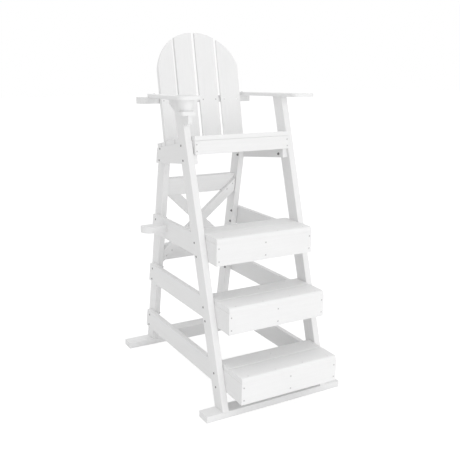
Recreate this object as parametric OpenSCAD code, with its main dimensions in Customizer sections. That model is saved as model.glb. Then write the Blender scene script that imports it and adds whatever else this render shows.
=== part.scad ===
// Lifeguard chair of plastic lumber: an open frame with a three-step front
// ladder, a slatted seat with a round-topped slatted back, and two armrests.
// Millimetres. +X is the sitter's left, +Y runs to the back of the chair, +Z is up.
// The origin is the centre of the front floor runner's underside.
// "Left" and "right" in the names are as seen by somebody facing the chair.

/* [Lumber] */
// Thickness of the frame boards
board_t = 38; // [30:1:45]
// Width of the leg and runner boards
leg_w = 89; // [80:1:95]
// Width of the rail and riser boards
rail_w = 121; // [105:1:135]
// Thickness of the side rails
rail_t = 29; // [24:1:38]
// Thickness of the tread and slat boards
deck_t = 28; // [22:1:32]

/* [Base frame] */
// Width over the outer faces of the front legs
frame_w = 686; // [640:2:760]
// Depth from the front of the front runner to the rear of the rear runner
base_d = 1188; // [1120:2:1300]
// Length of the two floor runners
runner_l = 880; // [820:2:1000]
// Backward lean of the front legs, in degrees
front_lean = 16.7; // [15:0.1:18]
// Forward lean of the rear legs, in degrees
rear_lean = 11.3; // [10:0.1:12]
// Distance that the side rails stop short of the rear legs' rear faces
rail_setback = 35; // [20:1:50]

/* [Steps] */
// Height of the lowest side rail's underside above the floor
first_rail_h = 134; // [110:1:150]
// Height from one step to the next
step_rise = 339; // [325:1:350]
// Distance that each step lies behind the one below
step_run = 137; // [120:1:150]
// Distance that the lowest step reaches ahead of the front runner
step_reach = 131; // [100:1:160]
// Depth of the front board of each step
front_tread_d = 137; // [125:1:150]
// Depth of the rear board of each step
rear_tread_d = 121; // [100:1:130]
// Gap between the two boards of a step
tread_gap = 3; // [2:0.5:8]
// Radius of the rounded nosing along each step
nosing_r = 14; // [8:1:20]

/* [Seat] */
// Height of the seat rails' underside at their front ends
seat_h = 1318; // [1300:1:1340]
// Distance from the seat rails' front ends to the back slats on the centre line
seat_y = 484.5; // [470:0.5:500]
// Fall of the seat rails and of the front slat towards the back, in degrees
seat_pitch = 6.5; // [4:0.1:8]
// Fall of the seat behind the front slat, in degrees
deck_pitch = 12.1; // [9:0.1:14]
// Height of the seat rails at their front ends, square to their underside
seat_rail_w = 126; // [115:1:140]
// Thickness of the seat slats
seat_slat_t = 24; // [16:1:28]
// Width of the three wide seat slats
seat_slat_w = 121; // [110:1:125]
// Width of the narrow slat behind them
narrow_slat_w = 57; // [50:1:62]
// Width of the last slat, notched for the back
last_slat_w = 50; // [42:1:54]
// Gap between seat slats
seat_gap = 8; // [5:0.5:10]
// Overhang of the front slat ahead of the seat rails
seat_nose = 34; // [30:1:50]
// Height of the apron board under the front slat
apron_h = 75; // [60:1:110]
// Length by which the apron stops short of each front leg
apron_gap = 5; // [2:0.5:12]

/* [Back] */
// Distance from the middle slats' backs to the rear legs' rear plane
back_inset = 3; // [0:0.5:12]
// Height of the back's datum line above the seat rails' lower front corners
back_rise = 79; // [60:1:95]
// Width of a back slat
back_slat_w = 123.5; // [115:0.5:130]
// Thickness of a back slat
back_slat_t = 19; // [13:1:25]
// Gap between the two middle back slats
back_gap = 20; // [8:0.5:24]
// Gap between a middle back slat and the outer one
outer_back_gap = 16; // [8:0.5:24]
// Turn of the two middle slats about their length, in degrees
inner_turn = 5.6; // [4:0.1:8]
// Turn of the two outer slats about their length, in degrees
outer_turn = 16.2; // [12:0.1:20]
// Radius of the round top of the back
back_round_r = 277; // [268:1:290]
// Height of that radius' centre above the datum line, along the back
back_round_h = 358; // [320:1:400]
// Depth by which the back slats reach below the datum line
back_drop = 90; // [80:1:110]
// Width of the board that the slats are screwed to at arm level
back_rail_w = 140; // [125:1:150]
// Thickness of that board
back_rail_t = 38; // [25:1:40]
// Half the length of that board
back_rail_half = 374; // [350:1:400]
// Corner radius of that board
back_rail_r = 44; // [30:1:60]
// Distance from the outer slats' outer rear edges back to that board's front
back_rail_gap = 3; // [0:1:12]

/* [Arms] */
// Height of the arms' underside above the seat rails' underside
arm_h = 342; // [320:1:370]
// Fall of the arms towards the back, in degrees
arm_pitch = 1.7; // [0:0.1:4]
// Thickness of an arm
arm_t = 19; // [16:1:28]
// Width of an arm over its wide front part
arm_w = 139; // [130:1:160]
// Width of an arm at its rear end
arm_rear_w = 46; // [40:1:70]
// Distance from the centre line to an arm's inner edge
arm_in = 286; // [282:1:296]
// Reach of the arms ahead of the front legs
arm_reach = 173; // [150:1:200]
// Distance that an arm's rear end lies on the back rail
arm_lap = 36; // [30:1:70]
// Corner radius of the arms' front ends
arm_r = 38; // [25:1:50]

/* [Fittings] */
// Depth of the drink cup below the arm's underside
cup_depth = 60; // [50:1:75]
// Outer radius of the cup at the arm
cup_top_r = 46; // [38:1:48]
// Outer radius of the cup at its floor
cup_floor_r = 34; // [26:1:38]
// Wall of the cup
cup_wall = 3.5; // [2.5:0.5:6]
// Width of the cup's rim, outside its wall
cup_rim_w = 5; // [3:0.5:8]
// Thickness of the cup's rim
cup_rim_t = 3; // [2:0.5:5]
// Distance from the front leg's front face to the cup's centre
cup_reach = 68; // [62:1:80]
// Distance from the arm's inner edge to the cup's centre
cup_in = 54; // [52:1:75]
// Half the width of the shelf under the cup
shelf_half = 42; // [36:1:46]
// Thickness of the shelf under the cup
shelf_t = 23; // [18:1:30]
// Corner radius of the shelf
shelf_r = 14; // [8:1:20]
// Thickness of the bracket and of the corbel
bracket_t = 24; // [20:1:38]
// Height of the bracket under the shelf
bracket_h = 51; // [45:1:65]
// Distance from the shelf's front to the bracket's front
bracket_inset = 14; // [4:1:20]
// Length of the bracket's lower tip
bracket_tip = 30; // [26:1:40]
// Radius of the bracket's lower front corner
bracket_r = 22; // [12:1:24]
// Rise of the bracket's underside from its tip to the leg
bracket_slope = 16; // [5:1:30]
// Reach of the corbel behind the front leg
corbel_reach = 48; // [40:1:65]
// Height of the corbel's rear edge
corbel_edge = 26; // [15:1:35]
// Height of the corbel along the leg
corbel_drop = 66; // [55:1:90]
// Radius between the corbel's rear edge and its slope
corbel_r = 12; // [5:1:20]
// Thickness of the side peg
peg_t = 40; // [30:1:45]
// Reach of the side peg from the upper rail
peg_reach = 144; // [120:1:200]
// Depth of the side peg
peg_w = 76; // [75:1:100]
// Radius of the peg's front corner
peg_r = 55; // [20:1:56]
// Radius of the peg's rear corner
peg_rear_r = 17; // [5:1:18]
// Distance from the peg's rear edge to the rear leg's rear face
peg_setback = 179; // [150:1:240]
// Height of the peg's underside above the upper rail's
peg_lift = 51; // [20:1:80]

/* [Bracing] */
// Height of the lower cross board's underside above the floor, along the legs
lower_cross_h = 592; // [550:1:620]
// Height of the upper cross board's underside above the floor, along the legs
upper_cross_h = 1041; // [1000:1:1070]
// Width of a cross board
cross_w = 112; // [100:1:121]
// Thickness of the cross boards and of the diagonals
brace_t = 28; // [20:1:29]
// Width of a diagonal brace
brace_w = 63; // [55:1:75]
// Distance that the front diagonal lies below the rear one's mirror image
brace_drop = 10; // [0:1:15]
// Height of the stretcher between the lowest rails
stretcher_h = 74; // [60:1:110]
// Distance from the front runner's front to the stretcher
stretcher_y = 702; // [600:1:800]

/* [Hidden] */
$fn = 64;

// Air between pieces that meet without touching
air = 2;
// Amount by which a cutter passes the face it cuts
over = 1;
// A length beyond the whole chair, for cutters
far = 3000;

// Layers from the outside in, as half widths: front legs, side rails, rear legs
leg_in = frame_w / 2 - board_t;
rail_in = leg_in - rail_t;
rear_leg_in = rail_in - board_t;
deck_half = leg_in - air;

// Legs: y of each face at the runner's top, and its slope against height
front_face_y = -leg_w / 2;
front_slope = tan(front_lean);
front_leg_d = leg_w / cos(front_lean);
rear_face_y = base_d - leg_w / 2;
rear_slope = -tan(rear_lean);
rear_leg_d = leg_w / cos(rear_lean);

// Back: datum height, and the slats' front faces there on the centre line
back_h = seat_h + back_rise;
back_y = rear_face_y + (back_h - board_t) * rear_slope
    - (back_inset + back_slat_t) / cos(rear_lean);
back_bow = back_slat_w * (sin(inner_turn) + sin(outer_turn));
// Length of a back slat's board before its ends are shaped
slat_l = back_drop + back_round_h + back_round_r;

// Seat: the rails' front ends, the slats' widths, and the bend in the rails' top
// behind the front slat, along the rails and as a place
seat_front_y = back_y - seat_y;
slat_widths = [seat_slat_w, seat_slat_w, seat_slat_w, narrow_slat_w, last_slat_w];
seat_bend = seat_slat_w - seat_nose + seat_gap / 2;
bend_y = seat_front_y + seat_bend * cos(seat_pitch) + seat_rail_w * sin(seat_pitch);
bend_z = seat_h - seat_bend * sin(seat_pitch) + seat_rail_w * cos(seat_pitch);
seat_fall = tan(seat_pitch);
deck_fall = tan(deck_pitch);

// Arms: their underside's height and place at the front legs' front faces, its
// fall, and the places along it of the back rail's front and the arms' rear ends
arm_z = seat_h + arm_h;
arm_y = front_face_y + (arm_z - board_t) * front_slope;
arm_fall = tan(arm_pitch);
back_lean_y = back_y + (arm_z - back_h) * tan(rear_lean);
rail_front = (back_lean_y - back_bow - arm_y) / cos(arm_pitch) + back_slat_t / cos(rear_lean)
    + back_rail_gap;
arm_rear = rail_front + arm_lap;

// Where a board's face y = y0 + slope * (z - board_t) meets the falling plane
// z = plane_z - fall * (y - plane_y), as [y, z]
function meet(y0, slope, plane_z, plane_y, fall) =
    let (z = (plane_z + fall * (plane_y - y0 + slope * board_t)) / (1 + fall * slope))
    [y0 + slope * (z - board_t), z];

// Unit vector along v
function unit(v) = v / norm(v);
// Points of the rounded corner at b between its neighbours a and c
function corner(a, b, c, r, steps = 8) =
    let (u = unit(a - b), w = unit(c - b), half = acos(u * w) / 2,
        centre = b + unit(u + w) * r / sin(half),
        from = b + u * r / tan(half) - centre, to = b + w * r / tan(half) - centre,
        sweep = 180 - 2 * half, way = sign(cross(from, to)))
    [for (i = [0:steps]) let (turn = way * sweep * i / steps)
        centre + [from[0] * cos(turn) - from[1] * sin(turn),
            from[0] * sin(turn) + from[1] * cos(turn)]];
// Outline through the corners pts, each rounded by its own radius
function rounded(pts, radii) =
    let (n = len(pts))
    [for (i = [0:n - 1]) each radii[i] > 0
        ? corner(pts[(i + n - 1) % n], pts[i], pts[(i + 1) % n], radii[i])
        : [pts[i]]];

// A board standing in the y-z plane, from half width inner outwards
module side_board(side, inner, thick, profile) {
    translate([side > 0 ? inner : -inner - thick, 0, 0])
        rotate([90, 0, 90])
            linear_extrude(thick)
                polygon(profile);
}
// The tilted spaces of the seat rails and front slat, of the seat behind the
// bend, and of the back, the arms and the rear legs
module seat_frame() {
    translate([0, seat_front_y, seat_h]) rotate([-seat_pitch, 0, 0]) children();
}
module deck_frame() {
    translate([0, bend_y, bend_z]) rotate([-deck_pitch, 0, 0]) children();
}
module back_frame() {
    translate([0, back_y, back_h]) rotate([-rear_lean, 0, 0]) children();
}
module arm_frame() {
    translate([0, arm_y, arm_z]) rotate([-arm_pitch, 0, 0]) children();
}
module rear_frame() {
    translate([0, rear_face_y, board_t]) rotate([rear_lean, 0, 0]) children();
}

// Floor runners
module runner(y) {
    color("white")
        translate([-runner_l / 2, y, 0])
            cube([runner_l, leg_w, board_t]);
}

// Front leg, cut level on its runner and along the arm's underside
module front_leg(side) {
    color("whitesmoke")
        side_board(side, leg_in, board_t, [
            [front_face_y, board_t],
            [front_face_y + front_leg_d, board_t],
            meet(front_face_y + front_leg_d, front_slope, arm_z, arm_y, arm_fall),
            meet(front_face_y, front_slope, arm_z, arm_y, arm_fall)]);
}
// Rear leg, cut level on its runner and flush with the seat rails' top
module rear_leg(side) {
    color("whitesmoke")
        side_board(side, rear_leg_in, board_t, [
            [rear_face_y - rear_leg_d, board_t],
            [rear_face_y, board_t],
            meet(rear_face_y, rear_slope, bend_z, bend_y, deck_fall),
            meet(rear_face_y - rear_leg_d, rear_slope, bend_z, bend_y, deck_fall)]);
}

// Steps are numbered from the bottom, 0 to 2
function rail_z(step) = first_rail_h + step * step_rise;
function riser_y(step) = -leg_w / 2 - step_reach + step * step_run;
function deck_z(step) = rail_z(step) + rail_w;

// Side rail of a step, from the riser's back to short of the rear leg's rear face
module side_rail(side, step) {
    z0 = rail_z(step);
    z1 = deck_z(step);
    rear = rear_face_y - rail_setback;
    color("white")
        side_board(side, rail_in, rail_t, [
            [riser_y(step) + board_t, z0],
            meet(rear, rear_slope, z0, 0, 0),
            meet(rear, rear_slope, z1, 0, 0),
            [riser_y(step) + board_t, z1]]);
}
// Riser board across the front of a step
module riser(step) {
    color("white")
        translate([-leg_in, riser_y(step), rail_z(step)])
            cube([2 * leg_in, board_t, rail_w]);
}
// Joist under the middle of a step's boards
module centre_joist(step) {
    reach = front_tread_d + tread_gap + rear_tread_d;
    color("gainsboro")
        translate([-board_t / 2, riser_y(step) + board_t, rail_z(step)])
            cube([board_t, reach - board_t, rail_w]);
}
// Front board of a step, with its nosing over the riser
module front_tread(step) {
    color("gainsboro")
        translate([-deck_half, riser_y(step), deck_z(step)])
            rotate([90, 0, 90])
                linear_extrude(2 * deck_half)
                    polygon(rounded([[0, 0], [front_tread_d, 0], [front_tread_d, deck_t],
                        [0, deck_t]], [0, 0, 0, nosing_r]));
}
// Rear board of a step
module rear_tread(step) {
    color("gainsboro")
        translate([-deck_half, riser_y(step) + front_tread_d + tread_gap, deck_z(step)])
            cube([2 * deck_half, rear_tread_d, deck_t]);
}
// Stretcher between the lowest side rails, flush with their tops
module floor_stretcher() {
    color("gainsboro")
        translate([-rail_in, stretcher_y - leg_w / 2, deck_z(0) - stretcher_h])
            cube([2 * rail_in, leg_w, stretcher_h]);
}

// Seat rail, square at the front, cut parallel to the rear leg behind, and cut
// down along its top behind the front slat
module seat_rail(side) {
    rear = rear_face_y - rail_setback;
    color("white")
        side_board(side, rail_in, rail_t, [
            [seat_front_y, seat_h],
            meet(rear, rear_slope, seat_h, seat_front_y, seat_fall),
            meet(rear, rear_slope, bend_z, bend_y, deck_fall),
            [bend_y, bend_z],
            [seat_front_y + seat_rail_w * sin(seat_pitch),
                seat_h + seat_rail_w * cos(seat_pitch)]]);
}
// Apron across the seat rails' front ends
module seat_apron() {
    half = leg_in - apron_gap;
    color("white")
        seat_frame()
            translate([-half, -deck_t, seat_rail_w - apron_h])
                cube([2 * half, deck_t, apron_h]);
}
// Seat slat, numbered from the front: slat 0 lies before the bend
module seat_slat(i) {
    color("gainsboro")
        if (i == 0)
            seat_frame()
                translate([-deck_half, -seat_nose, seat_rail_w])
                    cube([2 * deck_half, seat_slat_w, seat_slat_t]);
        else
            deck_frame()
                translate([-deck_half, slat_start(i), 0])
                    cube([2 * deck_half, slat_widths[i], seat_slat_t]);
}
// Front edge of a slat behind the bend
function slat_start(i) =
    i == 1 ? seat_gap / 2 : slat_start(i - 1) + slat_widths[i - 1] + seat_gap;
// Last seat slat, notched for the back slats
module notched_seat_slat(i) {
    color("gainsboro")
        difference() {
            seat_slat(i);
            back_frame()
                slat_places()
                    translate([-air, -air, 0])
                        cube([back_slat_w + 2 * air, back_slat_w, slat_l]);
        }
}

// The places of the four back slats, each with its lower inner front corner at
// the origin of its children
module slat_places() {
    for (side = [-1, 1])
        for (rank = [0, 1])
            slat_place(side, rank)
                children();
}
// One back slat's place: side -1 or 1, rank 0 beside the middle or 1 outside
module slat_place(side, rank) {
    outer_x = back_gap / 2 + back_slat_w * cos(inner_turn) + outer_back_gap;
    mirror([side > 0 ? 0 : 1, 0, 0])
        translate(rank == 0 ? [back_gap / 2, 0, -back_drop]
            : [outer_x, -back_slat_w * sin(inner_turn), -back_drop])
            rotate([0, 0, rank == 0 ? -inner_turn : -outer_turn])
                children();
}
// Round-topped outline of the back, thick enough to shape every slat
module back_outline() {
    depth = back_slat_w + back_slat_t;
    rotate([90, 0, 0])
        translate([0, 0, -back_slat_w / 2])
            linear_extrude(depth + back_slat_w) {
                circle(r = back_round_r, $fn = 128);
                translate([-back_round_r, -back_round_h - back_drop])
                    square([2 * back_round_r, back_round_h + back_drop]);
            }
}
// Back slat, shaped to the round top and notched round the rear leg's top
module back_slat(side, rank) {
    color("white")
        difference() {
            back_frame()
                intersection() {
                    slat_place(side, rank)
                        cube([back_slat_w, back_slat_t, slat_l]);
                    translate([0, 0, back_round_h])
                        back_outline();
                }
            deck_frame()
                translate([side > 0 ? rear_leg_in - air : -far, -far / 2, air - far])
                    cube([far - rear_leg_in + air, far, far]);
        }
}
// Board that the slats are screwed to at arm level, hollowed to their backs
module back_rail() {
    half = back_rail_half;
    rear = rail_front + back_rail_w;
    color("gainsboro")
        difference() {
            arm_frame()
                translate([0, 0, -back_rail_t])
                    linear_extrude(back_rail_t)
                        polygon(rounded([[-half, rail_front], [half, rail_front],
                            [half, rear], [-half, rear]],
                            [back_rail_r, back_rail_r, back_rail_r, back_rail_r]));
            slat_clearance();
        }
}
// The back slats and everything in front of them, as wide as a slat
module slat_clearance() {
    back_frame()
        slat_places()
            translate([-back_gap, -back_slat_w, 0])
                cube([back_slat_w + 2 * back_gap, back_slat_w + back_slat_t, slat_l]);
}
// Board between the rear legs that the slats' lower ends are screwed to
module lower_back_rail() {
    front = back_y - back_bow - bend_y;
    color("gainsboro")
        difference() {
            deck_frame()
                translate([-rear_leg_in, front, -board_t])
                    cube([2 * rear_leg_in, back_rail_w, board_t]);
            slat_clearance();
            rear_frame()
                translate([-far / 2, 0, 0])
                    cube([far, far, far]);
        }
}

// Plan of an arm: wide and rounded in front, tapered towards the back rail
function arm_plan() = rounded([[arm_in, -arm_reach], [arm_in + arm_w, -arm_reach],
    [arm_in + arm_w, 0], [arm_in + arm_rear_w, arm_rear], [arm_in, arm_rear]],
    [arm_r, arm_r, 0, arm_rear_w / 3, 0]);
module arm_blank(side) {
    arm_frame()
        mirror([side > 0 ? 0 : 1, 0, 0])
            linear_extrude(arm_t)
                polygon(arm_plan());
}
// Centre of the cup in the arm's own frame
cup_x = -(arm_in + cup_in);
cup_y = -cup_reach;
module right_arm() {
    color("white") arm_blank(1);
}
module left_arm() {
    color("white")
        difference() {
            arm_blank(-1);
            arm_frame()
                translate([cup_x, cup_y, -over])
                    cylinder(r = cup_top_r + air / 2, h = arm_t + 2 * over);
        }
}
// Tapered cup that hangs through the left arm by its rim and stands on its shelf
module cup_holder() {
    rim_r = cup_top_r + cup_rim_w;
    rim_top = arm_t + cup_rim_t;
    hollow_r = cup_top_r - cup_wall;
    color("lightgray")
        arm_frame()
            translate([cup_x, cup_y, 0])
                rotate_extrude()
                    polygon([[0, -cup_depth], [cup_floor_r, -cup_depth],
                        [cup_top_r, 0], [cup_top_r, arm_t],
                        [rim_r, arm_t], [rim_r, rim_top],
                        [hollow_r, rim_top], [hollow_r, 0],
                        [cup_floor_r - cup_wall, cup_wall - cup_depth],
                        [0, cup_wall - cup_depth]]);
}
// Shelf under the cup, fixed to the front leg's front face
module cup_shelf() {
    half = shelf_half;
    color("white")
        difference() {
            arm_frame()
                translate([cup_x, 0, -cup_depth - shelf_t])
                    linear_extrude(shelf_t)
                        polygon(rounded([[-half, cup_y - half], [half, cup_y - half],
                            [half, leg_w], [-half, leg_w]], [shelf_r, shelf_r, 0, 0]));
            front_leg_space();
        }
}
// Everything behind the front legs' front faces
module front_leg_space() {
    translate([-far / 2, front_face_y, board_t])
        rotate([-front_lean, 0, 0])
            translate([0, 0, -far / 2])
                cube([far, far, 2 * far]);
}
// Bracket in the plane of the left front leg that carries the shelf
module cup_bracket() {
    front = cup_y - shelf_half + bracket_inset;
    top = -cup_depth - shelf_t;
    low = top - bracket_h;
    color("white")
        difference() {
            arm_frame()
                side_board(-1, leg_in + board_t - bracket_t, bracket_t,
                    rounded([[0, top], [front, top], [front, low],
                        [front + bracket_tip, low], [0, low + bracket_slope]],
                        [0, 0, bracket_r, bracket_r / 3, 0]));
            front_leg_space();
        }
}
// Corbel behind the left front leg, up under the arm
module arm_corbel() {
    top = meet(front_face_y + front_leg_d, front_slope, arm_z, arm_y, arm_fall);
    rear = top + corbel_reach * [1, -arm_fall];
    color("white")
        side_board(-1, leg_in + board_t - bracket_t, bracket_t, rounded([
            top,
            top - corbel_drop * [front_slope, 1],
            rear - [0, corbel_edge],
            rear], [0, 0, corbel_r, 0]));
}
// Flat peg on the outer face of the upper left rail, for hanging rescue gear
module side_peg() {
    rear = rear_face_y + rear_slope * (rail_z(2) + peg_lift - board_t) - peg_setback;
    color("white")
        translate([0, 0, rail_z(2) + peg_lift])
            linear_extrude(peg_t)
                polygon(rounded([[-leg_in, rear - peg_w], [-leg_in, rear],
                    [-leg_in - peg_reach, rear], [-leg_in - peg_reach, rear - peg_w]],
                    [0, 0, peg_rear_r, peg_r]));
}

// The bracing lies between the rear legs in three layers, counted from the rear
// face: the rear diagonal, the cross boards and the front diagonal
module cross_board(h) {
    color("white")
        rear_frame()
            translate([-rear_leg_in, -2 * brace_t, h])
                cube([2 * rear_leg_in, brace_t, cross_w]);
}
// Diagonal over the cross boards: rise is 1 or -1, layer 1 to 3
module brace(rise, layer, drop) {
    half = rear_leg_in - air;
    low = lower_cross_h;
    high = upper_cross_h + cross_w;
    angle = atan2(upper_cross_h - lower_cross_h, 2 * half);
    color("white")
        rear_frame()
            translate([0, -(layer - 1) * brace_t, 0])
                rotate([90, 0, 0])
                    linear_extrude(brace_t)
                        intersection() {
                            translate([-half, low]) square([2 * half, high - low]);
                            translate([0, (low + high) / 2 - drop])
                                rotate(rise * angle)
                                    square([far, brace_w], center = true);
                        }
}

runner(-leg_w / 2);  // front_runner
runner(rear_face_y - leg_w);  // rear_runner
front_leg(-1);  // left_front_leg
front_leg(1);  // right_front_leg
rear_leg(-1);  // left_rear_leg
rear_leg(1);  // right_rear_leg
side_rail(-1, 0);  // lower_left_rail
side_rail(1, 0);  // lower_right_rail
side_rail(-1, 1);  // middle_left_rail
side_rail(1, 1);  // middle_right_rail
side_rail(-1, 2);  // upper_left_rail
side_rail(1, 2);  // upper_right_rail
seat_rail(-1);  // left_seat_rail
seat_rail(1);  // right_seat_rail
floor_stretcher();
riser(0);  // bottom_riser
front_tread(0);  // bottom_front_tread
rear_tread(0);  // bottom_rear_tread
centre_joist(0);  // bottom_centre_joist
riser(1);  // middle_riser
front_tread(1);  // middle_front_tread
rear_tread(1);  // middle_rear_tread
centre_joist(1);  // middle_centre_joist
riser(2);  // top_riser
front_tread(2);  // top_front_tread
rear_tread(2);  // top_rear_tread
centre_joist(2);  // top_centre_joist
seat_apron();
seat_slat(0);  // seat_slat_1
seat_slat(1);  // seat_slat_2
seat_slat(2);  // seat_slat_3
seat_slat(3);  // seat_slat_4
notched_seat_slat(4);  // seat_slat_5
lower_back_rail();
back_rail();
back_slat(-1, 1);  // left_outer_back_slat
back_slat(-1, 0);  // left_inner_back_slat
back_slat(1, 0);  // right_inner_back_slat
back_slat(1, 1);  // right_outer_back_slat
left_arm();
right_arm();
cross_board(lower_cross_h);  // lower_cross_board
cross_board(upper_cross_h);  // upper_cross_board
brace(1, 3, brace_drop);  // front_diagonal_brace
brace(-1, 1, 0);  // rear_diagonal_brace
side_peg();
cup_holder();
cup_shelf();
cup_bracket();
arm_corbel();
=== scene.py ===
"""Lifeguard chair of white plastic lumber: rounded boards, stainless fasteners, a moulded
drink cup, a pale studio and the camera. Metres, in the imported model's frame."""

import math

import bmesh
import bpy
from mathutils import Matrix, Vector
from mathutils.bvhtree import BVHTree


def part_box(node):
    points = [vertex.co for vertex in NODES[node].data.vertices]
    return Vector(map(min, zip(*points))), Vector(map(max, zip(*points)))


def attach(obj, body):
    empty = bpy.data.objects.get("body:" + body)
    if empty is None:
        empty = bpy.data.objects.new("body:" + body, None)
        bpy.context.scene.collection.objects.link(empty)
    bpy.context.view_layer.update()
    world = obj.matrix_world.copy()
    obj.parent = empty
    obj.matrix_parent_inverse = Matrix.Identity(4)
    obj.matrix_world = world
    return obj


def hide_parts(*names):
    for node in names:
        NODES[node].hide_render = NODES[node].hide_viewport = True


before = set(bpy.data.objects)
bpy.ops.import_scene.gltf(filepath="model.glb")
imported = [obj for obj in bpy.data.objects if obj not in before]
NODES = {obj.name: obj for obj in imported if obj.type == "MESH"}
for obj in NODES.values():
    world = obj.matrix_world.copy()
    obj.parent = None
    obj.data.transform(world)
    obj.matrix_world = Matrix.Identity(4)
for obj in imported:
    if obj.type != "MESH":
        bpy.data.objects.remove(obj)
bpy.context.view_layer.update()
scene = bpy.context.scene
scene.view_settings.view_transform = "Standard"


# ---------------------------------------------------------------- camera
CAMERA_PLACE = (-1.930, -2.898, 1.874)
CAMERA_YAW = math.radians(29.646)
CAMERA_PITCH = math.radians(15.421)
CAMERA_ROLL = math.radians(0.387)
# width of the sensor and length of the lens in millimetres
CAMERA_SENSOR = 36
CAMERA_LENS = 53.08
CAMERA_SHIFT_UP = 0.0323


def add_camera():
    """Camera at the photograph's viewing angle."""
    data = bpy.data.cameras.new("camera")
    data.sensor_width = CAMERA_SENSOR
    data.lens = CAMERA_LENS
    data.shift_y = CAMERA_SHIFT_UP
    camera = bpy.data.objects.new("camera", data)
    scene.collection.objects.link(camera)
    turn = (
        Matrix.Rotation(-CAMERA_YAW, 4, "Z")
        @ Matrix.Rotation(math.pi / 2 - CAMERA_PITCH, 4, "X")
        @ Matrix.Rotation(CAMERA_ROLL, 4, "Z")
    )
    camera.matrix_world = Matrix.Translation(CAMERA_PLACE) @ turn
    scene.camera = camera


# ---------------------------------------------------------------- materials
def grey(tone):
    """An opaque colour of one tone."""
    return (tone, tone, tone, 1)


class Graph:
    """Short names for making the nodes of a material or a world."""

    def __init__(self, owner):
        self.owner = owner
        owner.use_nodes = True
        self.tree = owner.node_tree
        self.tree.nodes.clear()

    def node(self, kind, **values):
        """A node with some of its sockets and properties set."""
        made = self.tree.nodes.new("ShaderNode" + kind)
        for key, value in values.items():
            if key in made.inputs:
                made.inputs[key].default_value = value
            else:
                setattr(made, key, value)
        return made

    def link(self, source, target):
        self.tree.links.new(source, target)

    def noise(self, vector, stretch, scale, detail=3.0, roughness=0.55):
        """Noise squeezed by stretch along the vector's axes."""
        mapping = self.node("Mapping", Scale=stretch)
        self.link(vector, mapping.inputs["Vector"])
        noise = self.node("TexNoise", Scale=scale, Detail=detail, Roughness=roughness)
        self.link(mapping.outputs["Vector"], noise.inputs["Vector"])
        return noise.outputs["Fac"]

    def ramp(self, value, low, high, dark, light):
        """Map value from low..high to a grey between dark and light."""
        ramp = self.node("ValToRGB")
        first, last = ramp.color_ramp.elements
        first.position = low
        first.color = grey(dark)
        last.position = high
        last.color = grey(light)
        self.link(value, ramp.inputs["Fac"])
        return ramp.outputs["Color"]

    def spread(self, value, low, high, least, most):
        """Map value from low..high to a number between least and most."""
        spread = self.node("MapRange")
        spread.inputs["From Min"].default_value = low
        spread.inputs["From Max"].default_value = high
        spread.inputs["To Min"].default_value = least
        spread.inputs["To Max"].default_value = most
        self.link(value, spread.inputs["Value"])
        return spread.outputs["Result"]

    def bump(self, height, strength, distance, over=None):
        """The normal bent by a height, over another bump if one is given."""
        bump = self.node("Bump", Strength=strength, Distance=distance)
        self.link(height, bump.inputs["Height"])
        if over is not None:
            self.link(over, bump.inputs["Normal"])
        return bump.outputs["Normal"]

    def mix_shaders(self, share, first, second):
        """The first shader with a share of the second in its place."""
        mix = self.node("MixShader")
        for source, socket in zip((share, first, second), mix.inputs):
            self.link(source, socket)
        return mix.outputs["Shader"]

    def finish(self, shader, output="OutputMaterial"):
        """The material or world, with that shader on its surface."""
        self.link(shader, self.node(output).inputs["Surface"])
        return self.owner


def lumber_material():
    """White plastic lumber: faint streaks along the board, a fine skin and a soft sheen."""
    g = Graph(bpy.data.materials.new("white_lumber"))
    place = g.node("Attribute", attribute_name="board_place").outputs["Vector"]
    streaks = g.noise(place, stretch=(0.6, 22, 22), scale=6.0)
    clouds = g.noise(place, stretch=(1.0, 2.2, 2.2), scale=5.0, detail=2.0)
    grain = g.noise(place, stretch=(1.0, 7.0, 7.0), scale=90.0, detail=4.0)
    tone = g.ramp(streaks, low=0.3, high=0.7, dark=0.848, light=0.866)
    shade = g.ramp(clouds, low=0.3, high=0.75, dark=0.98, light=1.0)
    colour = g.node("MixRGB", blend_type="MULTIPLY", Fac=1.0)
    g.link(tone, colour.inputs["Color1"])
    g.link(shade, colour.inputs["Color2"])
    roughness = g.spread(grain, low=0.3, high=0.7, least=0.45, most=0.6)
    streaked = g.bump(streaks, strength=0.07, distance=0.0004)
    skin = g.bump(grain, strength=0.12, distance=0.0002, over=streaked)
    shader = g.node("BsdfPrincipled", IOR=1.5)
    shader.inputs["Specular IOR Level"].default_value = 0.3
    g.link(colour.outputs["Color"], shader.inputs["Base Color"])
    g.link(roughness, shader.inputs["Roughness"])
    g.link(skin, shader.inputs["Normal"])
    return g.finish(shader.outputs["BSDF"])


def cup_material():
    """Smooth moulded white plastic with a satin finish."""
    g = Graph(bpy.data.materials.new("cup_plastic"))
    place = g.node("TexCoord").outputs["Object"]
    clouds = g.noise(place, stretch=(1, 1, 1), scale=30.0)
    colour = g.ramp(clouds, low=0.3, high=0.7, dark=0.82, light=0.85)
    shader = g.node("BsdfPrincipled", Roughness=0.3)
    g.link(colour, shader.inputs["Base Color"])
    g.link(g.bump(clouds, strength=0.05, distance=0.0005), shader.inputs["Normal"])
    return g.finish(shader.outputs["BSDF"])


def steel_material(name, dark, light):
    """Stainless steel of the fasteners, between two tones of its brushed skin."""
    g = Graph(bpy.data.materials.new(name))
    place = g.node("TexCoord").outputs["Object"]
    grit = g.noise(place, stretch=(1, 1, 1), scale=900.0)
    colour = g.ramp(grit, low=0.3, high=0.7, dark=dark, light=light)
    roughness = g.spread(grit, low=0, high=1, least=0.3, most=0.5)
    shader = g.node("BsdfPrincipled", Metallic=1.0)
    g.link(colour, shader.inputs["Base Color"])
    g.link(roughness, shader.inputs["Roughness"])
    return g.finish(shader.outputs["BSDF"])


LUMBER = lumber_material()
CUP = cup_material()
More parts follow.
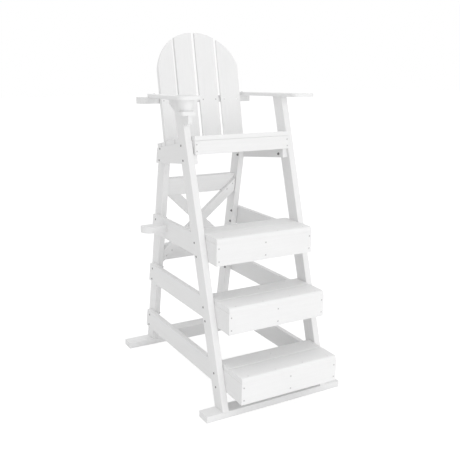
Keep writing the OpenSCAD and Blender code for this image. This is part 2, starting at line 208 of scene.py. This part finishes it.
# screws facing up in the treads and seat get a lighter steel: a painted reflection of the bright
# surroundings above them
REFLECTION_PAINTED_STEEL = steel_material("steel_with_painted_reflection", dark=0.70, light=0.82)
BRIGHT_STEEL = steel_material("bright_steel", dark=0.52, light=0.66)
# the bolts and nuts on the rails and legs get a darker steel: painted shade
SHADE_PAINTED_STEEL = steel_material("steel_with_painted_shade", dark=0.22, light=0.34)


# ---------------------------------------------------------------- pieces
def built_mesh(name, bm):
    """A mesh of what was built in bm, which is freed."""
    mesh = bpy.data.meshes.new(name)
    bm.to_mesh(mesh)
    bm.free()
    return mesh


def link_object(name, mesh, material):
    """An object of one material, in the scene."""
    piece = bpy.data.objects.new(name, mesh)
    scene.collection.objects.link(piece)
    mesh.materials.clear()
    mesh.materials.append(material)
    return piece


def settle(piece):
    """Apply the piece's modifiers to its mesh."""
    bpy.context.view_layer.update()
    shaped = piece.evaluated_get(bpy.context.evaluated_depsgraph_get())
    mesh = bpy.data.meshes.new_from_object(shaped)
    piece.modifiers.clear()
    piece.data = mesh


# edges that turn by more than SHARP are rounded, and those that turn by less than FLAT go
SHARP = math.radians(28)
FLAT = math.radians(1.0)
WELD = 1e-5
# ways are square to each other if their product is below SQUARE, and alike if above ALIKE
SQUARE = 0.2
ALIKE = 0.5
ROUND_STEPS = 4
CUP_ROUND_STEPS = 3
# the weight at which a piece's large faces keep their own normals
FACES_STAY_FLAT = 100
# shares of a board's rounding that its ends get, and a tread's edges on its riser
END_SHARE = 0.35
SEATED_SHARE = 0.12
# steps along and across between the boards' places in the streaks, so that no two look alike
NEXT_BOARD = (3.7, 0.61)


def edge_way(edge):
    """The direction of an edge."""
    return (edge.verts[1].co - edge.verts[0].co).normalized()


def board_axes(bm):
    """The board's own axes: along its longest straight edge, then its longest edge across."""
    edges = sorted(bm.edges, key=lambda edge: edge.calc_length(), reverse=True)
    along = edge_way(edges[0])
    crossing = (way for way in map(edge_way, edges) if abs(way.dot(along)) < SQUARE)
    across = next(crossing, along.orthogonal())
    across = (across - along * across.dot(along)).normalized()
    return along, across, along.cross(across)


def edge_share(edge, along, seated_below):
    """How much of the board's rounding an edge gets: little where it sits on another board."""
    if all(vertex.co.z < seated_below for vertex in edge.verts):
        return SEATED_SHARE
    return 1.0 if abs(edge_way(edge).dot(along)) > ALIKE else END_SHARE


def round_board(name, radius, number):
    """Copy of a CAD board with softly rounded long edges and eased ends."""
    bm = bmesh.new()
    bm.from_mesh(NODES[name].data)
    bmesh.ops.remove_doubles(bm, verts=bm.verts, dist=WELD)
    bmesh.ops.dissolve_limit(bm, angle_limit=FLAT, verts=bm.verts, edges=bm.edges)
    along, across, through = board_axes(bm)
    weight = bm.edges.layers.float.new("bevel_weight_edge")
    seated_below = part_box(name)[0][2] + radius if "tread" in name else 0
    for edge in bm.edges:
        if len(edge.link_faces) == 2 and edge.calc_face_angle() > SHARP:
            edge[weight] = edge_share(edge, along, seated_below)
    mesh = built_mesh(name, bm)
    mesh.shade_smooth()
    piece = link_object("finished_" + name, mesh, LUMBER)
    bevel = piece.modifiers.new("round", "BEVEL")
    bevel.limit_method = "WEIGHT"
    bevel.width = radius
    bevel.segments = ROUND_STEPS
    bevel.miter_outer = "MITER_SHARP"
    normals = piece.modifiers.new("normals", "WEIGHTED_NORMAL")
    normals.keep_sharp = True
    normals.weight = FACES_STAY_FLAT
    settle(piece)
    store_place(piece.data, along, across, through, number)
    piece["along"] = along
    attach(piece, "root")
    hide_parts(name)
    return piece


def store_place(mesh, along, across, through, number):
    """Keep each point's place along, across and through its board, apart for each board."""
    attribute = mesh.attributes.new("board_place", "FLOAT_VECTOR", "POINT")
    for point, vertex in zip(attribute.data, mesh.vertices):
        point.vector = (
            vertex.co.dot(along) + number * NEXT_BOARD[0],
            vertex.co.dot(across) + number * NEXT_BOARD[1],
            vertex.co.dot(through),
        )


EASED_EDGE = 0.003
# boards with other edges: round treads, square risers, thin slats and notched slats
EDGES = {
    "tread": 0.0070,
    "riser": 0.0010,
    "slat": 0.0022,
    "seat_slat_5": 0.0008,
    "outer_back_slat": 0.0012,
}
NOT_BOARDS = ("cup_holder",)


def edge_radius(name):
    """The board's own edge radius: that of the longest word of EDGES in its name."""
    words = sorted((word for word in EDGES if word in name), key=len)
    return EDGES[words[-1]] if words else EASED_EDGE


def add_boards():
    """The rounded copies by their nodes' names."""
    return {
        name: round_board(name, edge_radius(name), number)
        for number, name in enumerate(sorted(NODES))
        if name not in NOT_BOARDS
    }


# ---------------------------------------------------------------- turned shapes
# points of a screw's star drive
LOBES = 6
# edges that turn by more than this stay sharp
CREASE = math.radians(32)


def standing(spot, way):
    """The place of a turned shape with its foot at a spot and its axis along a way."""
    return Matrix.Translation(spot) @ way.to_track_quat("Z", "Y").to_matrix().to_4x4()


def add_turned(bm, profile, place, sides):
    """A shape turned from (radius, height, wave) points. One that doesn't begin and end on the
    axis closes into a ring. The wave makes a lobed outline, as of a star drive."""
    rings = []
    for radius, height, wave in profile:
        ring = []
        for k in range(sides if radius else 1):
            angle = 2 * math.pi * k / sides
            reach = radius * (1 + wave * math.cos(LOBES * angle))
            spot = Vector((reach * math.cos(angle), reach * math.sin(angle), height))
            ring.append(bm.verts.new(place @ spot))
        rings.append(ring)
    pairs = list(zip(rings, rings[1:]))
    if profile[0][0]:
        pairs.append((rings[-1], rings[0]))
    for inner, outer in pairs:
        for k in range(sides):
            corners = (
                inner[k % len(inner)],
                outer[k % len(outer)],
                outer[(k + 1) % len(outer)],
                inner[(k + 1) % len(inner)],
            )
            bm.faces.new(list(dict.fromkeys(corners)))


def finish_turned(name, bm, material):
    """One piece of turned shapes, smooth between its creases, riding on the chair."""
    bmesh.ops.recalc_face_normals(bm, faces=bm.faces)
    mesh = built_mesh(name, bm)
    mesh.shade_smooth()
    mesh.set_sharp_from_angle(angle=CREASE)
    piece = link_object(name, mesh, material)
    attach(piece, "root")
    return piece


# ---------------------------------------------------------------- fasteners
# profiles from the axis outwards and down, with height 0 at the board's face
SCREW_HEAD = (
    (0, 0.0003, 0),
    (0.0017, 0.0003, 0.18),
    (0.0019, 0.0013, 0.18),
    (0.0037, 0.0013, 0),
    (0.0046, 0.0006, 0),
    (0.0046, -0.0010, 0),
    (0, -0.0010, 0),
)
BOLT_HEAD = (
    (0, 0.0036, 0),
    (0.0022, 0.0034, 0),
    (0.0042, 0.0026, 0),
    (0.0057, 0.0014, 0),
    (0.0063, 0.0002, 0),
    (0.0063, -0.0010, 0),
    (0, -0.0010, 0),
)
WASHER = (
    (0, 0.0014, 0),
    (0.0076, 0.0014, 0),
    (0.0080, 0.0010, 0),
    (0.0080, -0.0010, 0),
    (0, -0.0010, 0),
)
NUT = (
    (0, 0.0072, 0),
    (0.0052, 0.0072, 0),
    (0.0064, 0.0064, 0),
    (0.0064, 0.0010, 0),
    (0, 0.0010, 0),
)
BOLT_END = (
    (0, 0.0098, 0),
    (0.0026, 0.0098, 0),
    (0.0031, 0.0092, 0),
    (0.0031, 0.0060, 0),
    (0, 0.0060, 0),
)
ROUND_SIDES = 24
THREAD_SIDES = 16
NUT_SIDES = 6
# each fastener is turned by the golden angle from the last, so that no two drives line up
GOLDEN_TURN = 2.39996

# directions that a line of sight takes towards a board
BACKWARD = Vector((0, 1, 0))
FORWARD = Vector((0, -1, 0))
DOWN = Vector((0, 0, -1))
UP = Vector((0, 0, 1))
TO_RIGHT = Vector((1, 0, 0))
TO_LEFT = Vector((-1, 0, 0))
# a line of sight starts this far before the point that it goes through
FAR = 3.0

LEVELS = ("bottom", "middle", "top")
# the chair's sides, with the sign of their x
SIDES = (("left", -1), ("right", 1))


def near_face(board, through, way):
    """Where a line through a point, going that way, first meets a board, and the normal."""
    start = Vector(through) - FAR * way
    spot, normal, _, _ = TREES[board].ray_cast(start, way)
    return spot, normal


def y_span(board, x, z):
    """Front and rear of a board at x and z."""
    return [near_face(board, (x, 0, z), way)[0].y for way in (BACKWARD, FORWARD)]


def z_span(board, x, y):
    """Bottom and top of a board at x and y."""
    return [near_face(board, (x, y, 0), way)[0].z for way in (UP, DOWN)]


def middle(board):
    """Middle of a board's box."""
    low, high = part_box(board)
    return (Vector(low) + Vector(high)) / 2


def seat_in(bm, shapes, face, number):
    """Put turned shapes, each with its number of sides, on a face."""
    place = standing(*face) @ Matrix.Rotation(number * GOLDEN_TURN, 4, "Z")
    for profile, sides in shapes:
        add_turned(bm, profile, place, sides)


def add_fasteners(name, faces, shapes, steel):
    """One piece of like fasteners, one on each face."""
    bm = bmesh.new()
    for number, face in enumerate(faces):
        seat_in(bm, shapes, face, number)
    return finish_turned(name, bm, steel)


RISER_SCREW_EDGE = 0.025


def riser_screws():
    """Three pairs to a riser: into both side rails and the centre joist."""
    for level in LEVELS:
        board = level + "_riser"
        low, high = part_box(board)
        for x in (-RAIL_X, 0, RAIL_X):
            for z in (low[2] + RISER_SCREW_EDGE, high[2] - RISER_SCREW_EDGE):
                yield near_face(board, (x, 0, z), BACKWARD)


TREAD_SCREW_X = (0.087, 0.256)


def tread_screws():
    """A row in each front tread, down into the riser, and three in each rear tread."""
    for level in LEVELS:
        y = middle(level + "_riser").y
        for x in TREAD_SCREW_X:
            for sign in (-1, 1):
                yield near_face(level + "_front_tread", (sign * x, y, 0), DOWN)
        y = middle(level + "_rear_tread").y
        for x in (-RAIL_X, 0, RAIL_X):
            yield near_face(level + "_rear_tread", (x, y, 0), DOWN)


SEAT_SLATS = 5
SLAT_SCREW_EDGE = 0.028
NOSE_SCREW_EDGE = 0.045
WIDE_SLAT = 0.1


def seat_screws():
    """Seat slats down into the seat rails: a pair at each end of a wide one."""
    for rank in range(1, SEAT_SLATS + 1):
        board = "seat_slat_%d" % rank
        low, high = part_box(board)
        front = NOSE_SCREW_EDGE if rank == 1 else SLAT_SCREW_EDGE
        if high[1] - low[1] > WIDE_SLAT:
            places = (low[1] + front, high[1] - SLAT_SCREW_EDGE)
        else:
            places = ((low[1] + high[1]) / 2,)
        for y in places:
            for x in (-RAIL_X, RAIL_X):
                yield near_face(board, (x, y, 0), DOWN)


APRON_SCREW_APART = 0.018


def apron_screws():
    """A pair at each end of the apron."""
    z = middle("seat_apron").z
    for x in (-RAIL_X, RAIL_X):
        for rise in (-APRON_SCREW_APART, APRON_SCREW_APART):
            yield near_face("seat_apron", (x, 0, z + rise), BACKWARD)


BACK_SCREW_X = 0.041


def back_screws():
    """Back slats to the rail behind them at the arms."""
    z = middle("back_rail").z
    for side, _ in SIDES:
        for place in ("inner", "outer"):
            board = "%s_%s_back_slat" % (side, place)
            for x in (-BACK_SCREW_X, BACK_SCREW_X):
                yield near_face(board, (middle(board).x + x, 0, z), BACKWARD)


# distances from the chair's middle, and the rise over the middle of the board's width
BRACE_SCREW_X = (0.180, 0.217)
BRACE_SCREW_RISE = 0.022


def brace_screws():
    """Two at each end of both diagonals, beyond the middle of the board's width."""
    for board, way in (
        ("front_diagonal_brace", BACKWARD),
        ("rear_diagonal_brace", FORWARD),
    ):
        along = BOARD_WAYS[board]
        centre = middle(board)
        for x in BRACE_SCREW_X:
            for sign in (-1, 1):
                z = centre.z + sign * (x * along.z / along.x + BRACE_SCREW_RISE)
                yield near_face(board, (sign * x, 0, z), way)


# bolts' distances from a rail's bottom and top edges, and at the seat rail's cut rear end
RAIL_BOLT_EDGES = (0.020, 0.028)
CUT_RAIL_BOLT_EDGES = (0.013, 0.010)
# from the front leg's rear face and the rail's rear end
FRONT_BOLT_BACK = 0.026
REAR_BOLT_BACK = 0.042
# from the rail's rear end to where its edges are taken for the rear bolts
REAR_EDGES_BACK = 0.063


def bolt_heights(rail, x, y, edges=RAIL_BOLT_EDGES):
    """Heights of the two bolts in a rail, from its edges at x and y."""
    low, high = z_span(rail, x, y)
    return low + edges[0], high - edges[1]


def rail_bolts():
    """Two through each side rail at each of its legs: (rail, leg, point) on the bolt's line."""
    for side, _ in SIDES:
        front_leg, rear_leg = side + "_front_leg", side + "_rear_leg"
        leg_x = middle(front_leg).x
        for level in ("lower", "middle", "upper", "seat"):
            seat = level == "seat"
            rail = side + "_seat_rail" if seat else "%s_%s_rail" % (level, side)
            x = middle(rail).x
            leg_y = sum(y_span(front_leg, leg_x, middle(rail).z)) / 2
            for z in bolt_heights(rail, x, leg_y):
                front, rear = y_span(front_leg, leg_x, z)
                y = (front + rear) / 2 if level == "lower" else rear - FRONT_BOLT_BACK
                yield rail, front_leg, (x, y, z)
            rear_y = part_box(rail)[1][1] - REAR_EDGES_BACK
            edges = CUT_RAIL_BOLT_EDGES if seat else RAIL_BOLT_EDGES
            for z in bolt_heights(rail, x, rear_y, edges):
                y = y_span(rail, x, z)[1] - REAR_BOLT_BACK
                yield rail, rear_leg, (x, y, z)


def bolt_faces():
    """The bolts' outer and inner faces: each bolt's head is outside and its nut inside."""
    heads, nuts = [], []
    for rail, leg, point in rail_bolts():
        inward = TO_RIGHT if point[0] < 0 else TO_LEFT
        outer, inner = (leg, rail) if "front" in leg else (rail, leg)
        heads.append(near_face(outer, point, inward))
        nuts.append(near_face(inner, point, -inward))
    return heads, nuts


# x and y of the right arm's bolt
ARM_BOLT = (0.300, 0.883)


def arm_bolts():
    """One through each arm, down into the back rail."""
    for side, sign in SIDES:
        yield near_face(side + "_arm", (sign * ARM_BOLT[0], ARM_BOLT[1], 0), DOWN)


def add_all_fasteners():
    """The chair's screws, and its bolts with their nuts."""
    screw = ((SCREW_HEAD, ROUND_SIDES),)
    for name, faces, steel in (
        ("riser_screws", riser_screws(), BRIGHT_STEEL),
        ("tread_screws", tread_screws(), REFLECTION_PAINTED_STEEL),
        ("seat_screws", seat_screws(), REFLECTION_PAINTED_STEEL),
        ("apron_screws", apron_screws(), BRIGHT_STEEL),
        ("back_screws", back_screws(), BRIGHT_STEEL),
        ("brace_screws", brace_screws(), BRIGHT_STEEL),
    ):
        add_fasteners(name, faces, screw, steel)
    heads, nuts = bolt_faces()
    bolt = ((BOLT_HEAD, ROUND_SIDES),)
    nut = ((WASHER, ROUND_SIDES), (NUT, NUT_SIDES), (BOLT_END, THREAD_SIDES))
    add_fasteners("rail_bolt_heads", heads, bolt, SHADE_PAINTED_STEEL)
    add_fasteners("rail_bolt_nuts", nuts, nut, SHADE_PAINTED_STEEL)
    add_fasteners("arm_bolt_heads", arm_bolts(), bolt, BRIGHT_STEEL)


# ---------------------------------------------------------------- cup
CUP_WALL = 0.0035
CUP_RIM_W = 0.005
CUP_RIM_T = 0.003
CUP_FLOOR_R = 0.034
CUP_DRAIN_R = 0.004
CUP_EASE = 0.0012
CUP_SIDES = 72


def add_cup():
    """Moulded cup that hangs in the left arm by its rim, with a drain hole in its floor."""
    low, high = (Vector(corner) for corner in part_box("cup_holder"))
    rim_r = (high.x - low.x) / 2
    centre = (low + high) / 2
    # clear of the cup, where the arm is plain
    beyond = high.y + rim_r
    _, axis = near_face("left_arm", (centre.x, beyond, 0), DOWN)
    tilt = math.sqrt(1 - axis.z**2)
    top = Vector((centre.x, centre.y, high.z - rim_r * tilt))
    depth = (top.z - low.z - CUP_FLOOR_R * tilt) / axis.z
    arm_low, arm_high = z_span("left_arm", centre.x, beyond)
    neck = -CUP_RIM_T - (arm_high - arm_low) * axis.z
    body_r = rim_r - CUP_RIM_W
    profile = (
        (CUP_DRAIN_R, -depth, 0),
        (CUP_FLOOR_R, -depth, 0),
        (body_r, neck, 0),
        (body_r, -CUP_RIM_T, 0),
        (rim_r, -CUP_RIM_T, 0),
        (rim_r, 0, 0),
        (body_r - CUP_WALL, 0, 0),
        (body_r - CUP_WALL, neck, 0),
        (CUP_FLOOR_R - CUP_WALL, CUP_WALL - depth, 0),
        (CUP_DRAIN_R, CUP_WALL - depth, 0),
    )
    bm = bmesh.new()
    add_turned(bm, profile, standing(top, axis), CUP_SIDES)
    piece = finish_turned("finished_cup", bm, CUP)
    bevel = piece.modifiers.new("ease", "BEVEL")
    bevel.limit_method = "ANGLE"
    bevel.angle_limit = SHARP
    bevel.width = CUP_EASE
    bevel.segments = CUP_ROUND_STEPS
    normals = piece.modifiers.new("normals", "WEIGHTED_NORMAL")
    normals.weight = FACES_STAY_FLAT
    settle(piece)
    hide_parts("cup_holder")


# ---------------------------------------------------------------- studio
# half the floor's width, and how far it lies below the feet
FLOOR_HALF = 30.0
FLOOR_DROP = 0.0005
# the floor's own tone, and the tone and glow that show it white but for the shadow
FLOOR_TONE = 0.92
FLOOR_SEEN = 0.34
FLOOR_GLOW = 0.80
WORLD_LIGHT = 0.78
MID_CHAIR = (0, 0.4, 0.8)
LOW_FRONT = (0, 0.0, 0.2)
# name, place, target, size in metres and power in watts
LAMPS = (
    ("front_key", (0.2, -6.0, 3.0), MID_CHAIR, 2.2, 66),
    ("front_low", (-0.4, -6.0, 0.8), LOW_FRONT, 1.6, 36),
    ("left_fill", (-6.0, 0.2, 2.6), MID_CHAIR, 2.4, 4),
    ("overhead", (0, 1.6, 6.5), MID_CHAIR, 3.0, 55),
)


def white_rays(g):
    """1 for rays that show the background: the camera's, and those off metal or through glass."""
    rays = g.node("LightPath").outputs
    white = rays["Is Camera Ray"]
    for kind in ("Is Glossy Ray", "Is Transmission Ray"):
        either = g.node("Math", operation="MAXIMUM")
        g.link(white, either.inputs[0])
        g.link(rays[kind], either.inputs[1])
        white = either.outputs["Value"]
    return white


def add_floor():
    """Plain floor that lights the chair as a pale floor does and shows white, with its shadow."""
    g = Graph(bpy.data.materials.new("pale_floor"))
    plain = g.node("BsdfDiffuse", Color=grey(FLOOR_TONE))
    shadowed = g.node("BsdfDiffuse", Color=grey(FLOOR_SEEN))
    glow = g.node("Emission", Color=grey(1), Strength=FLOOR_GLOW)
    shown = g.node("AddShader")
    g.link(shadowed.outputs["BSDF"], shown.inputs[0])
    g.link(glow.outputs["Emission"], shown.inputs[1])
    surface = g.mix_shaders(white_rays(g), plain.outputs["BSDF"], shown.outputs["Shader"])
    bm = bmesh.new()
    bmesh.ops.create_grid(bm, x_segments=1, y_segments=1, size=FLOOR_HALF)
    floor = link_object("floor", built_mesh("floor", bm), g.finish(surface))
    floor.location.z = -FLOOR_DROP


def add_world():
    """Even light from all round, seen as white."""
    g = Graph(bpy.data.worlds.new("surroundings"))
    soft = g.node("Background", Color=grey(1), Strength=WORLD_LIGHT)
    white = g.node("Background", Color=grey(1), Strength=1.0)
    light = g.mix_shaders(
        white_rays(g), soft.outputs["Background"], white.outputs["Background"]
    )
    scene.world = g.finish(light, "OutputWorld")


def add_lamp(name, place, target, size, power):
    """Square lamp turned to its target."""
    data = bpy.data.lights.new(name, "AREA")
    data.shape = "SQUARE"
    data.size = size
    data.energy = power
    lamp = bpy.data.objects.new(name, data)
    scene.collection.objects.link(lamp)
    lamp.location = place
    aim = Vector(target) - Vector(place)
    lamp.rotation_euler = aim.to_track_quat("-Z", "Y").to_euler()


# ---------------------------------------------------------------- the scene
boards = add_boards()
# what the fasteners' places are found on: the finished boards, and their ways along
TREES = {
    name: BVHTree.FromPolygons(
        [v.co for v in piece.data.vertices], [p.vertices for p in piece.data.polygons]
    )
    for name, piece in boards.items()
}
BOARD_WAYS = {name: Vector(piece["along"]) for name, piece in boards.items()}
RAIL_X = middle("lower_right_rail").x
add_all_fasteners()
add_cup()
add_camera()
add_floor()
add_world()
for lamp in LAMPS:
    add_lamp(*lamp)
